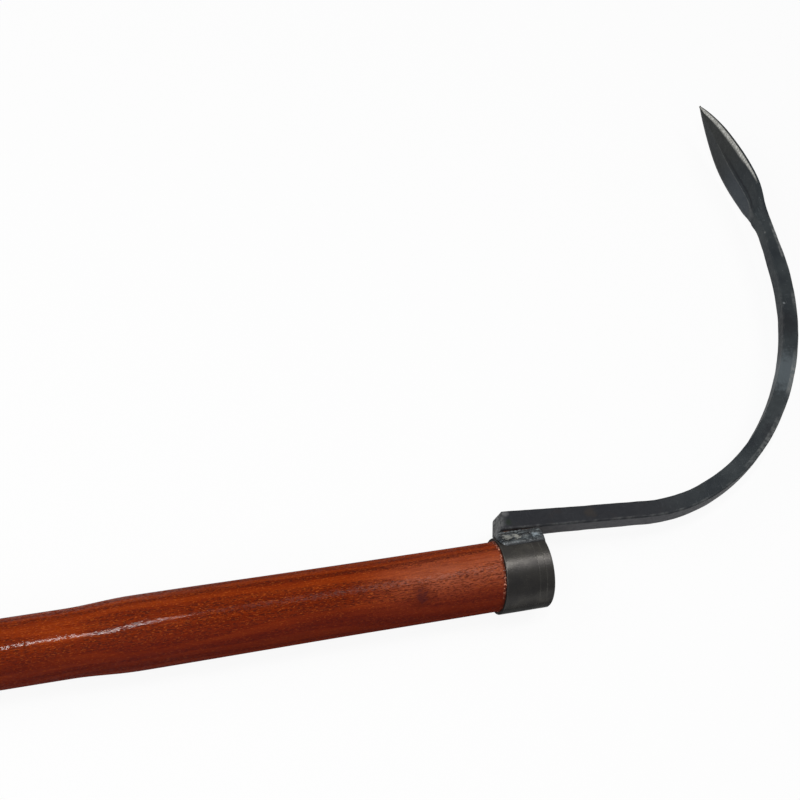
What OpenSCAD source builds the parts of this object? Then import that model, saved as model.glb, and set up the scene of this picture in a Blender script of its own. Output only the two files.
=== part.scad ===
// Single-tine cultivator: a forged hook tine welded on a ring ferrule, on a long turned ash handle.
// X runs along the handle towards the head, +Y is the way the tine hooks, and the tine lies in the XY plane.
// The origin is on the handle's axis, in the middle of its rear grip.

/* [Handle] */
// Overall length of the handle, from the butt to the front of the ferrule
handle_len = 1220; // [700:10:1800]
// Diameter of the straight rear grip
grip_d = 31.75; // [26:0.25:33]
// Length of the straight rear grip
grip_len = 150; // [80:5:250]
// Length of the rounded butt behind the grip
butt_len = 9; // [3:0.5:15]
// Diameter of the shaft where it meets the step
shaft_d = 32.6; // [27:0.1:34]
// Diameter of the swell in front of the step
swell_d = 35.7; // [35:0.1:42]
// Distance from the ferrule's front to the top of the step
swell_back = 205; // [150:5:320]
// Length of the curved step from shaft to swell
step_len = 33; // [15:1:60]
// Distance from the ferrule's front to where the swell has tapered to the ferrule
neck_back = 92; // [45:1:130]

/* [Ferrule] */
// Outside diameter of the ring
ferrule_d = 38.1; // [37:0.1:50]
// Wall of the ring
ferrule_wall = 1.65; // [1:0.05:2.5]
// Length of the ring
ferrule_len = 26; // [24:0.5:40]
// Radius of the rounding on the ring's front rim
rim_round = 0.7; // [0.2:0.05:0.8]
// How far the ring's rear end is cut out of square, so that it is shorter on the tine's side
rear_slant = 2.8; // [0:0.1:4]
// Gap left between the wood and the ring's bore, on the radius
drive_gap = 0.05; // [0.02:0.01:0.15]

/* [Tine] */
// Width of the square bar where it starts to bend
bar_w = 9.5; // [7:0.1:12]
// Width of the bar at its rear end, where it is upset
root_w = 10.2; // [8:0.1:12.5]
// Rounding of the bar's four edges
bar_round = 0.9; // [0.4:0.1:1.6]
// Length of the bar that lies over the ferrule
bar_overlap = 15.5; // [10:0.5:20]
// Height of the bar's rear end above the ferrule, filled by weld
root_gap = 3.6; // [2:0.1:5]
// Angle at which the bar falls towards the handle's axis
bar_fall = 3.7; // [0:0.1:4.5]
// How far the bar's rear end is cut out of square, so that it is longer on the ferrule's side
end_slant = 2.5; // [0:0.5:4]
// How far the same end is cut out of square the other way, so that it is shorter on the +Z side
end_turn = 2.1; // [0:0.1:3]
// Length of the straight part of the bar
straight_len = 80.5; // [60:0.5:120]
// Radius of the first bend
bend_a_r = 91; // [60:1:150]
// Turn of the first bend
bend_a_turn = 24; // [10:1:35]
// Radius of the second bend
bend_b_r = 129; // [90:1:200]
// Turn of the second bend
bend_b_turn = 23; // [10:1:35]
// Radius of the third bend
bend_c_r = 178; // [120:1:260]
// Turn of the third bend
bend_c_turn = 49; // [30:0.5:55]
// Radius of the slight curve through the neck and the leaf
leaf_bend_r = 1800; // [500:10:2000]
// Width of the bar at the neck
neck_w = 8.7; // [6:0.1:9]
// Length from the end of the third bend to where the leaf starts
neck_len = 1; // [1:0.5:30]
// Length of the leaf-shaped point
leaf_len = 93.5; // [60:0.5:130]
// Greatest width of the leaf
leaf_w = 30.8; // [20:0.2:45]
// Place of the greatest width, as a share of the leaf's length
leaf_belly = 0.42; // [0.3:0.01:0.6]
// How far the leaf's base stands outside the middle line
leaf_set = 2.5; // [0:0.1:3]
// Thickness of the leaf's edge
edge_t = 1.1; // [0.6:0.1:2]
// Height of the mid-rib above the leaf's edge
rib_h = 2; // [1.2:0.1:4]
// Rise of the leaf's back behind its edge
back_h = 1.1; // [0.5:0.1:2]
// Width of the ground bevel along the leaf's edge
bevel_w = 2.4; // [1.5:0.1:5]
// Rise of the ground bevel
bevel_h = 0.9; // [0.5:0.1:1]
// Width of the blunt tip
tip_w = 1.3; // [0.5:0.1:2]

/* [Weld] */
// Angle on the ferrule from the tine's plane to the toe of each bead
toe_angle = 67; // [58:1:72]
// Thickness of each bead over the ring
bead_bulge = 1.8; // [1.2:0.1:2.6]
// Height of the ripples along each bead
ripple_h = 0.2; // [0:0.05:0.5]
// Length of one ripple
ripple_len = 3.4; // [2:0.1:6]
// How far each bead runs in front of the ferrule, under the bar
bead_ahead = 3.5; // [1:0.5:5]

/* [Wedges] */
// Depth of the wooden wedge in the handle's end
wedge_len = 24; // [15:1:25]
// Thickness of the wooden wedge at the face
wedge_t = 4.5; // [3:0.1:6]
// Depth of the steel wedge across it
spike_len = 18; // [10:1:20]
// Thickness of the steel wedge at the face
spike_t = 2.6; // [2:0.1:4]
// Width of the steel wedge
spike_w = 20; // [14:1:26]
// Thickness of both wedges at their thin ends
thin_t = 0.6; // [0.4:0.1:1]

/* [Hidden] */

wood_colour = [0.48, 0.12, 0.04];
end_grain_colour = [0.76, 0.6, 0.4];
ring_colour = [0.13, 0.12, 0.12];
tine_colour = [0.16, 0.18, 0.21];
weld_colour = [0.3, 0.34, 0.37];
spike_colour = [0.35, 0.35, 0.36];

// Places along the handle
butt_x = -grip_len / 2 - butt_len;
front_x = butt_x + handle_len;
ferrule_x = front_x - ferrule_len;
ferrule_r = ferrule_d / 2;
bore_r = ferrule_r - ferrule_wall;
neck_r = bore_r - drive_gap;

// Places along the tine, measured on its middle line from the bar's rear end
bar_x = front_x - bar_overlap;
bar_y = ferrule_r + root_gap + root_w / 2;
bend_start = straight_len;
bend_len = PI / 180 * (bend_a_r * bend_a_turn + bend_b_r * bend_b_turn + bend_c_r * bend_c_turn);
neck_start = bend_start + bend_len;
leaf_start = neck_start + neck_len;
// Length and turn of each stretch of the middle line
stretches = [
    [straight_len, 0],
    arc(bend_a_r, bend_a_turn),
    arc(bend_b_r, bend_b_turn),
    arc(bend_c_r, bend_c_turn),
    [neck_len + leaf_len, (neck_len + leaf_len) / leaf_bend_r * 180 / PI],
];
// Size of the worn edge round the bar's rear end
end_round = 0.6;
end_edge = 0.8;
// Distance of the bead's upper edge from the tine's plane, and its depth in the bar before the bar is cut out
bead_reach = 0.8;
bead_bite = 0.2;
// Share of the bead's thickness that is left at its two ends
end_bulge = 0.4;
// Shares of the bead's thickness close to the bar, at its rear end and from its middle to its front end
waist_rear = 1.2;
waist_front = 0.5;
// Share of the way down to the toe at which the bead has its full thickness
waist_end = 0.6;
// Powers of the bead's fillet under the bar and of its toe, and of the spacing of points between them
fillet_power = 6;
toe_power = 4;
point_power = 1.3;
// Powers and span of the bow in which the bead's rear end runs from the bar back to the ring's rear rim
bow_span = 1.35;
bow_power = 1.6;
// Depth of the toe below the ring's surface, where ring and bead part
toe_sink = 0.4;
// Share of the ferrule's radius at which the bead closes below its toe, inside the ring
toe_depth = 0.9;
// How far the bead hangs down over the ring's front face
bead_hang = 1.2;
// Widths over which the bead rises at its rear end and at its front end
bead_rise = 3;
bead_fall = 1.2;
// Shares of the leaf's length at which its forms change
rib_fade_start = 0.25;
rib_fade_end = 0.8;
tip_taper = 0.3;
belly_power = 0.55;
tip_power = 0.84;
leaf_blend = 0.24;
// Shares of the leaf's length over which its base leaves the middle line and comes back to it
set_from = -0.12;
set_full = 0.2;
set_back = 0.15;
set_end = 0.65;
// Share of the leaf's thickness that is left at the tip
tip_thin = 0.35;
// Places across the bar's side face that become the leaf's edge and the ends of its bevel
side_points = [0.2, 0.4, 0.6];
// Places across the leaf's half-width where its back starts to fall, and where it has nearly reached the edge
back_fall_at = 0.8;
back_foot_at = 0.93;
// Shares of the back's height at those two places
back_fall = 0.3;
back_foot = 0.1;
// Half-width of the mid-rib as a share of the leaf's, and the rise of the face between bevel and rib
rib_share = 0.14;
face_rise = 0.15;
// Greatest share of the half-width that the bevel takes where the leaf is narrow
bevel_share = 0.6;
// Share of the grip's radius that the butt's flat end has
butt_share = 0.55;

function arc(r, turn) = [r * turn * PI / 180, turn];
function mix(a, b, t) = a + (b - a) * t;
function clamp(t) = min(1, max(0, t));
function ease(t) = let(c = clamp(t)) c * c * (3 - 2 * c);

// Place and heading after length s of one stretch, from place and heading p
function walk(stretch, s, p) =
    let(
        run = min(s, stretch[0]),
        turn = stretch[1] * run / stretch[0],
        heading = p[2]
    )
    turn == 0
        ? [p[0] + run * cos(heading), p[1] + run * sin(heading), heading]
        : let(r = run / (turn * PI / 180))
          [
              p[0] + r * (sin(heading + turn) - sin(heading)),
              p[1] - r * (cos(heading + turn) - cos(heading)),
              heading + turn
          ];

// Place and heading on the middle line at length s
function along(s, i = 0, p = [bar_x, bar_y, -bar_fall]) =
    i >= len(stretches) || s <= 0 ? p : along(s - stretches[i][0], i + 1, walk(stretches[i], s, p));

// Share of the leaf's length at s: 0 where it starts, 1 at the tip
function leaf_share(s) = clamp((s - leaf_start) / leaf_len);
// Half the bar's width at s
function bar_half(s) = s < bend_start
    ? mix(root_w, bar_w, s / bend_start) / 2
    : mix(bar_w, neck_w, clamp((s - bend_start) / (leaf_start - bend_start))) / 2;
// Half the leaf's width at share u of its length
function leaf_half(u) = u < leaf_belly
    ? mix(neck_w / 2, leaf_w / 2, pow(sin(90 * u / leaf_belly), belly_power))
    : max(tip_w / 2, leaf_w / 2 * pow(cos(90 * (u - leaf_belly) / (1 - leaf_belly)), tip_power));

// How far the section at s stands outside the middle line
function set_out(s) =
    let(u = (s - leaf_start) / leaf_len)
    leaf_set * ease((u - set_from) / (set_full - set_from))
        * (1 - ease((u - set_back) / (set_end - set_back)));

// Half outline of the cross-section at s, from the outer side round the +Z edge to the inner side.
// Each point is [distance outwards from the middle line, distance along Z]. The bar's outer side becomes
// the leaf's back, its side face becomes half of the leaf's face, and its inner side narrows into the rib.
function half_section(s) =
    let(
        u = leaf_share(s),
        e = ease(u / leaf_blend),
        b = bar_half(s),
        c = bar_round,
        k = c * (1 - cos(45)),
        half = leaf_half(u),
        thin = mix(tip_thin, 1, clamp((1 - u) / tip_taper)),
        edge = edge_t / 2 * thin,
        grind = min(bevel_w, half * bevel_share),
        face = edge + bevel_h * thin,
        rib_fade = ease((u - rib_fade_start) / (rib_fade_end - rib_fade_start)),
        foot = face + face_rise * thin,
        rib = max(foot, edge + rib_h * (1 - rib_fade) * thin),
        back = back_h * thin,
        bar = [
            [b, 0], [b, b - c], [b - k, b - k], [b - c, b],
            for (t = side_points) [mix(b - c, c - b, t), b],
            [c - b, b], [k - b, b - k], [-b, b - c], [-b, 0]
        ],
        leaf = [
            [edge + back, 0],
            [edge + back * back_fall, half * back_fall_at],
            [edge + back * back_foot, half * back_foot_at],
            [edge, half],
            [-edge, half],
            [-(edge + face) / 2, half - grind / 2],
            [-face, half - grind],
            [-foot, rib_share * half],
            [-mix(foot, rib, 0.5), rib_share * half / 2],
            [-mix(foot, rib, 0.9), rib_share * half / 8],
            [-rib, 0]
        ]
    )
    [for (i = [0:len(bar) - 1]) mix(bar[i], leaf[i], e)];

// The full cross-section at s, as points in space
function ring(s, inset = 0) =
    let(
        p = along(s),
        right = half_section(s),
        left = [for (i = [len(right) - 2:-1:1]) [right[i][0], -right[i][1]]],
        shrink = 1 - inset / bar_half(s),
        skew = clamp(1 - s / (straight_len / 2)) / root_w
    )
    [for (q = concat(right, left)) let(out = q[0] * shrink + set_out(s)) [
        p[0] + out * sin(p[2]) - out * end_slant * skew + q[1] * end_turn * skew,
        p[1] - out * cos(p[2]),
        q[1] * shrink
    ]];

function middle(points) = [for (k = [0:2]) [for (p = points) p[k]] * [for (p = points) 1] / len(points)];

// Closed skin over a list of rings that have the same number of points. Each end is a fan about its middle.
module skin(rings) {
    n = len(rings[0]);
    last = len(rings) - 1;
    rear_middle = (last + 1) * n;
    points = concat([for (r = rings) each r], [middle(rings[0]), middle(rings[last])]);
    sides = [
        for (i = [0:last - 1])
            for (j = [0:n - 1])
                let(a = i * n + j, b = i * n + (j + 1) % n, c = b + n, d = a + n)
                    each [[a, b, c], [a, c, d]]
    ];
    rear = [for (j = [0:n - 1]) [rear_middle, (j + 1) % n, j]];
    front = [for (j = [0:n - 1]) [rear_middle + 1, last * n + j, last * n + (j + 1) % n]];
    polyhedron(points = points, faces = concat(rear, sides, front), convexity = 6);
}

// Body of revolution about X from an outline of [x, radius] points
module turned(outline) {
    rotate([90, 0, 90]) rotate_extrude($fn = 96) polygon([for (p = outline) [p[1], p[0]]]);
}

// Turned handle: rounded butt, straight grip, long taper, curved step up to the swell, neck in the ferrule
function handle_outline() =
    let(
        butt_steps = 8,
        step_steps = 12,
        swell_steps = 6,
        step_top = front_x - swell_back,
        step_foot = step_top - step_len,
        neck_x = front_x - neck_back
    )
    concat(
        [[butt_x, 0]],
        [for (i = [1:butt_steps]) let(a = 90 * i / butt_steps)
            [butt_x + butt_len * (1 - cos(a)), grip_d / 2 * mix(butt_share, 1, sin(a))]],
        [[butt_x + butt_len + grip_len, grip_d / 2]],
        [for (i = [0:step_steps]) let(t = i / step_steps)
            [mix(step_foot, step_top, t), mix(shaft_d, swell_d, (1 - cos(180 * t)) / 2) / 2]],
        [for (i = [1:swell_steps]) let(t = i / swell_steps)
            [mix(step_top, neck_x, t), mix(swell_d / 2, neck_r, ease(t))]],
        [[front_x, neck_r], [front_x, 0]]
    );

// Outline of a wedge seen from the side, thin end towards the butt
module wedge_side(depth, face_t) {
    polygon([
        [front_x - depth, -thin_t / 2],
        [front_x, -face_t / 2],
        [front_x, face_t / 2],
        [front_x - depth, thin_t / 2]
    ]);
}

// Wooden wedge as a block wider than the handle, its broad side along Z
module wooden_wedge_block() {
    linear_extrude(height = ferrule_d, center = true) wedge_side(wedge_len, wedge_t);
}

// Steel wedge, its broad side along Y
module steel_wedge_block() {
    rotate([90, 0, 0]) linear_extrude(height = spike_w, center = true) wedge_side(spike_len, spike_t);
}

module handle() {
    color(wood_colour)
    difference() {
        turned(handle_outline());
        wooden_wedge_block();
        steel_wedge_block();
    }
}

module wooden_wedge() {
    color(end_grain_colour)
    difference() {
        intersection() {
            wooden_wedge_block();
            translate([ferrule_x, 0, 0]) rotate([0, 90, 0]) cylinder(r = neck_r, h = ferrule_len, $fn = 96);
        }
        steel_wedge_block();
    }
}

module steel_wedge() {
    color(spike_colour) steel_wedge_block();
}

// Ring with its front rim rounded and its rear end cut slightly out of square
module ferrule() {
    rim_steps = 4;
    color(ring_colour)
    difference() {
        turned(concat(
            [[ferrule_x, bore_r], [ferrule_x, ferrule_r]],
            [for (i = [0:rim_steps]) let(a = 90 * i / rim_steps)
                [front_x - rim_round * (1 - sin(a)), ferrule_r - rim_round * (1 - cos(a))]],
            [[front_x, bore_r]]
        ));
        translate([ferrule_x, -ferrule_r, 0])
            rotate([0, 0, -atan(rear_slant / ferrule_d)])
            translate([-ferrule_len, -ferrule_d, -ferrule_d])
            cube([ferrule_len, 3 * ferrule_d, 2 * ferrule_d]);
    }
}

// Lengths at which the tine's cross-sections stand
function ring_places() = concat(
    [end_edge, straight_len / 2],
    [for (i = [0:40]) mix(bend_start, neck_start, i / 40)],
    [for (i = [1:3]) mix(neck_start, leaf_start, i / 3)],
    [for (i = [1:34]) leaf_start + leaf_len * i / 34]
);

module tine() {
    color(tine_colour) skin(concat([ring(0, end_round)], [for (s = ring_places()) ring(s)]));
}

// The straight rear of the tine alone, which the beads fit
module bar_root() {
    skin([ring(0, end_round), ring(end_edge), ring(straight_len / 2), ring(straight_len)]);
}

// Where the slanted rear rim of the ring stands at angle a from the tine's plane
function ring_rear(a) = ferrule_x + rear_slant * (1 + cos(a)) / 2;
// Rear and front ends of the +Z bead at share t of the way from the bar down to the toe
function bead_rear(t) = mix(bar_x, ring_rear(toe_angle * t), pow(sin(180 * t / bow_span), bow_power));
function bead_front(t) = front_x + bead_ahead * (1 - t);

// Share of its full thickness that the bead has at x, between its ends at share t
function bead_share(x, t) =
    let(near_end = clamp(min((x - bead_rear(t)) / bead_rise, (bead_front(t) - x) / bead_fall)))
    mix(end_bulge, 1, sqrt(1 - pow(1 - near_end, 2)));

// Point on the +Z bead at share k of its length and share t of the way down to its toe.
// Ferrule, handle and bar are cut from the bead afterwards.
function bead_point(k, t) =
    let(
        x = mix(bead_rear(t), bead_front(t), k),
        s = max(0, mix(bead_rear(0), bead_front(0), k) - bar_x),
        under = along(s)[1] - bar_half(s) / cos(bar_fall) + bead_bite,
        a = mix(atan(bead_reach / under), toe_angle, t),
        gap = norm([under, bead_reach]) - ferrule_r,
        waist = mix(waist_rear, waist_front, ease(2 * k)),
        thick = bead_bulge * bead_share(x, t),
        body = toe_sink + thick * mix(waist, 1, ease(t / waist_end)),
        wave = ripple_h * sin(360 * x / ripple_len) * sin(180 * t),
        r = ferrule_r - toe_sink + body * sqrt(1 - pow(t, toe_power))
            + (gap - thick * waist) * pow(1 - t, fillet_power) + wave
    )
    [x, r * cos(a), r * sin(a)];

// Cross-section of the +Z bead at share k of its length, from inside the ring over the bulge to the bar
function bead_section(k) =
    let(
        steps = 10,
        outside = [for (i = [steps:-1:0]) bead_point(k, pow(i / steps, point_power))],
        toe = outside[0],
        top = outside[steps]
    )
    concat(
        [[toe[0], toe[1] * toe_depth, toe[2] * toe_depth]],
        outside,
        [[top[0], top[1], 0], [top[0], bore_r, 0]]
    );

module bead() {
    slice = 0.7;
    behind = ring_rear(toe_angle) - 1;
    length = bead_front(0) - behind + 1;
    count = round(length / slice);
    difference() {
        skin([for (i = [0:count]) bead_section(i / count)]);
        translate([behind, 0, 0])
            rotate([0, 90, 0]) cylinder(r = ferrule_r, h = front_x - behind, $fn = 96);
        translate([behind, 0, 0])
            rotate([0, 90, 0]) cylinder(r = ferrule_r - bead_hang, h = length, $fn = 96);
        bar_root();
    }
}

module weld_bead_near() {
    color(weld_colour) bead();
}

module weld_bead_far() {
    color(weld_colour) mirror([0, 0, 1]) bead();
}

handle();
ferrule();
tine();
weld_bead_near();
weld_bead_far();
wooden_wedge();
steel_wedge();
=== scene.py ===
import math

import bmesh
import bpy
import numpy as np
from mathutils import Euler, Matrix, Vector, noise


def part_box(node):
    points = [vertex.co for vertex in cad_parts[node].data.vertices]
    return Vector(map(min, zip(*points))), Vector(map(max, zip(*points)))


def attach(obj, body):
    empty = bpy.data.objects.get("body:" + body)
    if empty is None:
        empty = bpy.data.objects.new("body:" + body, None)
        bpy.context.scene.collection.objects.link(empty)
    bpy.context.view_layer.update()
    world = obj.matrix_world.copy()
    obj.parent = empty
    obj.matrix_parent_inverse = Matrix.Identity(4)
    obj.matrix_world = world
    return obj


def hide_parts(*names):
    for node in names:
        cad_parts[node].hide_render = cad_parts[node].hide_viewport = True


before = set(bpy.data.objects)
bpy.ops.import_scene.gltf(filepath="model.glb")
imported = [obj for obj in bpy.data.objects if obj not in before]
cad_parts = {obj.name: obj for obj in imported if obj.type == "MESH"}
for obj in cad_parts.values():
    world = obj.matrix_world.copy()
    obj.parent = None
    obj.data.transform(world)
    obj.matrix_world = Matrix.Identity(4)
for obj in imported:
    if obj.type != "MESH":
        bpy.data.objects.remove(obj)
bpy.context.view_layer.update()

mm = 0.001

# Sizes read from the frame
handle_low, handle_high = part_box("handle")
ferrule_low, ferrule_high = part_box("ferrule")
butt_x = handle_low.x
front_x = ferrule_high.x
ferrule_x = ferrule_low.x
ferrule_r = ferrule_high.z
swell_r = handle_high.z
ring_front = Vector((front_x, 0, 0))

# Handle
grip_r = 15.875 * mm
grip_len = 150 * mm
butt_len = 9 * mm
butt_share = 0.55
shaft_r = 16.3 * mm
swell_back = 205 * mm
step_len = 33 * mm
neck_back = 92 * mm
neck_r = 17.35 * mm
turning_h = 0.09 * mm
handle_noise_r = 20 * mm
end_recess = 0.3 * mm
end_chamfer = 0.4 * mm
chamfer_share = 0.98
pinched = 0.001
lip_h = 0.55 * mm
lip_w = 0.8 * mm
stain_w = 1.3 * lip_w
knot_spot = (front_x - 69 * mm, -10.4 * mm, 13.8 * mm)
sheen_len = 110 * mm
gloss_end = 155 * mm
gloss_fade = 50 * mm
handle_columns = 160
butt_rows = 11
shaft_step = 3 * mm
rim_before = 4 * mm
rim_after = 1 * mm
rim_step = 0.25 * mm

# Ferrule
ferrule_wall = 1.65 * mm
rear_slant = 2.8 * mm
rear_round = 0.5 * mm
rim_round = 0.7 * mm
bore_chamfer = 0.25 * mm
bore_shown = 3 * mm
groove_backs = (4.3 * mm, 8 * mm)
groove_w = 0.22 * mm
groove_depth = 0.09 * mm
dent_h = 0.06 * mm
ring_noise_r = 19 * mm
rim_wear_w = 0.45 * mm
ring_body = (0.06, 0.97)
ring_rows = 200
ring_columns = 110

# Tine, with its bends as radius and degrees
bar_w = 9.5 * mm
root_w = 10.2 * mm
bar_round = 0.9 * mm
bar_overlap = 15.5 * mm
root_gap = 3.6 * mm
bar_fall = math.radians(3.7)
end_slant = 2.5 * mm
end_turn = 2.1 * mm
end_round = 0.6 * mm
end_edge = 0.8 * mm
straight_len = 80.5 * mm
bends = ((91 * mm, 24), (129 * mm, 23), (178 * mm, 49))
leaf_bend_r = 1800 * mm
neck_w = 8.7 * mm
neck_len = 1 * mm
leaf_len = 93.5 * mm
leaf_w = 30.8 * mm
leaf_belly = 0.42
belly_power = 0.55
tip_power = 0.84
leaf_set = 2.5 * mm
set_rise = (-0.12, 0.2)
set_fall = (0.15, 0.65)
leaf_blend = 0.24
edge_t = 1.1 * mm
rib_h = 2.15 * mm
rib_share = 0.14
rib_power = 1.15
rib_fade = (0.3, 0.95)
crest_from = 7 / 8
back_h = 1.1 * mm
back_fall_at = 0.8
back_fall = 0.3
side_end = 0.2
bevel_end = 0.6
bevel_w = 2.4 * mm
bevel_h = 0.9 * mm
face_rise = 0.15 * mm
bevel_share = 0.6
bevel_from = 0.24
tip_w = 1.3 * mm
tip_taper = 0.3
tip_thin = 0.35
throat_h = 1.1 * mm
throat_at = (0.0, 0.11, 0.3)
waist_h = 1.3 * mm
waist_at = (-0.28, -0.05, 0.1)
flare_w = 2.8 * mm
flare_at = (0.0, 0.1, 0.24)
bar_step = 1.5 * mm
leaf_step = 0.8 * mm
hammer_h = 0.12 * mm
pitting_h = 0.05 * mm
rear_wear_w = 1.6 * mm
heat_reach = 8 * mm
heat_fade = 6 * mm

# Stretches of the tine's outer corner that carry a painted highlight: start, end and strength
corner_highlight_fade = 4 * mm
corner_highlight_spans = (
    (146 * mm, 188 * mm, 0.5),
    (203 * mm, 235 * mm, 0.9),
    (262 * mm, 276 * mm, 0.5),
    (297 * mm, 325 * mm, 0.9),
)

# Darker stretches of the tine, and the stretch of its outer side that is painted paler as if lit
dark_root = (front_x + 110 * mm, front_x + 60 * mm)
dark_tip_y = 225 * mm
dark_tip_fade = 25 * mm
lit_back_len = 190 * mm
lit_back_fade = 40 * mm

# Marks on the tine: place, radius, colour and strength
tine_marks = (
    ((front_x - 11 * mm, 31 * mm, 5.1 * mm), 2.2 * mm, (0.1, 0.1, 0.105), 0.65),
    ((front_x - 11 * mm, 26 * mm, 5.1 * mm), 2.6 * mm, (0.012, 0.018, 0.012), 0.8),
    ((front_x + 34 * mm, 25 * mm, 4.9 * mm), 4.5 * mm, (0.038, 0.03, 0.022), 0.4),
    ((front_x + 192 * mm, 137 * mm, 4.5 * mm), 1 * mm, (0.2, 0.21, 0.22), 0.7),
    ((front_x + 176 * mm, 92 * mm, 4.6 * mm), 19 * mm, (0.08, 0.096, 0.106), 0.8),
    ((front_x + 154 * mm, 54 * mm, 4.6 * mm), 14 * mm, (0.011, 0.012, 0.015), 0.6),
    ((front_x + 188 * mm, 124 * mm, 4.5 * mm), 12 * mm, (0.012, 0.013, 0.015), 0.6),
    ((front_x + 199.4 * mm, 186.6 * mm, 4.4 * mm), 0.9 * mm, (0.12, 0.12, 0.115), 0.6),
)

# Weld
toe_angle = math.radians(67)
bead_bulge = 1.8 * mm
bead_ahead = 3.5 * mm
bead_reach = 0.8 * mm
bead_bite = 0.2 * mm
end_bulge = 0.4
waist_rear = 1.2
waist_front = 0.5
waist_end = 0.6
fillet_power = 3
toe_power = 4
bow_span = 1.35
bow_power = 1.6
toe_sink = 0.4 * mm
toe_depth = 0.9
toe_lip_at = 0.93
toe_lip_h = 0.3 * mm
bead_rise = 3 * mm
bead_fall = 1.2 * mm
lump_h = 0.5 * mm
grit_h = 0.25 * mm
ripple_h = 0.12 * mm
ripple_len = 2.1 * mm
ripple_bow = 0.8
bead_rows = 110
bead_columns = 36
column_power = 1.2

# Painted highlights on the near bead: place, radius, colour and strength
weld_highlight_spots = (
    ((front_x - 18.3 * mm, 13.3 * mm, 15.6 * mm), 2.8 * mm, (0.4, 0.4, 0.36), 0.7),
    ((front_x - 13.8 * mm, 13 * mm, 16.1 * mm), 2.8 * mm, (0.42, 0.42, 0.38), 0.8),
    ((front_x - 8.7 * mm, 12.7 * mm, 16.7 * mm), 2.2 * mm, (0.3, 0.33, 0.33), 0.6),
    ((front_x - 3.3 * mm, 12.9 * mm, 16.9 * mm), 3 * mm, (0.34, 0.4, 0.44), 0.8),
)

# Floor, light and camera, with lamps as place from the ring's front, width, depth and power
floor_half = 4.0
floor_gap = 0.3 * mm
floor_glow = 0.92
white = (1.0, 1.0, 1.0)
sky_light = 0.16
mirrored_white = 0.3
lamps = {
    "back_softbox": ((0.52, 0.15, 1.3), 0.45, 0.8, 6.4),
    "left_back_fill": ((-1.1, 0.5, 1.0), 1.0, 1.0, 8),
    "left_front_fill": ((-0.9, -0.7, 0.9), 1.0, 1.0, 8),
    "overhead_strip": ((-0.158, -0.03, 1.0), 0.37, 0.05, 3.8),
}
strip_turn = math.radians(44.7)
eye_from_front = (-0.32596, -0.33022, 0.77304)
eye_turn = [math.radians(angle) for angle in (32.0955, -11.5121, -14.9708)]
lens_len = 80.06
sensor_w = 36


def mix(a, b, t):
    return a + (b - a) * t


def clamp(t):
    return min(1.0, max(0.0, t))


def ease(t):
    c = clamp(t)
    return c * c * (3 - 2 * c)


def hump(t, middle, width):
    """Bell-shaped rise to 1 at the middle, nearly back to 0 at two widths from it."""
    return math.exp(-((t - middle) / width) ** 2)


def wobble(x, y, z, scale, seed=0.0):
    """Smooth noise from -1 to 1, with features about 1 / scale metres wide."""
    return noise.noise(Vector((x * scale + seed, y * scale + seed * 1.7, z * scale - seed)))


def circle_points(count):
    """Points (y, z) on a circle of radius 1."""
    angles = [2 * math.pi * j / count for j in range(count)]
    return [(math.cos(angle), math.sin(angle)) for angle in angles]


def steps(count):
    """Equal steps from 0 to 1, without the 0."""
    return np.linspace(0, 1, count + 1)[1:]


def put(name, data):
    thing = bpy.data.objects.new(name, data)
    bpy.context.scene.collection.objects.link(thing)
    return thing


def new_piece(name, node, points, faces, material, sharp_angle, masks):
    """A piece that stands for a CAD node, crisp where its faces turn by more than sharp_angle degrees."""
    mesh = bpy.data.meshes.new(name)
    mesh.from_pydata(points, [], faces)
    piece = put(name, mesh)
    work = bmesh.new()
    work.from_mesh(mesh)
    bmesh.ops.recalc_face_normals(work, faces=work.faces)
    work.to_mesh(mesh)
    work.free()
    for polygon in mesh.polygons:
        polygon.use_smooth = True
    mesh.materials.append(material)
    for mask, values in masks.items():
        attribute = mesh.attributes.new(mask, "FLOAT", "POINT")
        attribute.data.foreach_set("value", np.array(values, dtype=np.float32))
    mesh.set_sharp_from_angle(angle=math.radians(sharp_angle))
    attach(piece, "root")
    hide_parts(node)


def grid_faces(rows, columns, closed):
    """Quads over rows of points, whose last column joins the first if closed."""
    faces = []
    for i in range(rows - 1):
        for j in range(columns if closed else columns - 1):
            a = i * columns + j
            b = i * columns + (j + 1) % columns
            faces.append((a, b, b + columns, a + columns))
    return faces


def ring_faces(first, second, count):
    """Quads between two closed rows of count points, which start at first and at second."""
    faces = []
    for j in range(count):
        following = (j + 1) % count
        faces.append((first + j, first + following, second + following, second + j))
    return faces


def closed_skin(rows, columns):
    """Quads round closed rows of points, with a face over the first and the last row."""
    faces = grid_faces(rows, columns, True)
    faces.append(tuple(range(columns)))
    faces.append(tuple(range((rows - 1) * columns, rows * columns)))
    return faces


def keep(masks, values):
    """Adds one point's values to the lists of the masks."""
    for name, value in values.items():
        masks.setdefault(name, []).append(value)


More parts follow.
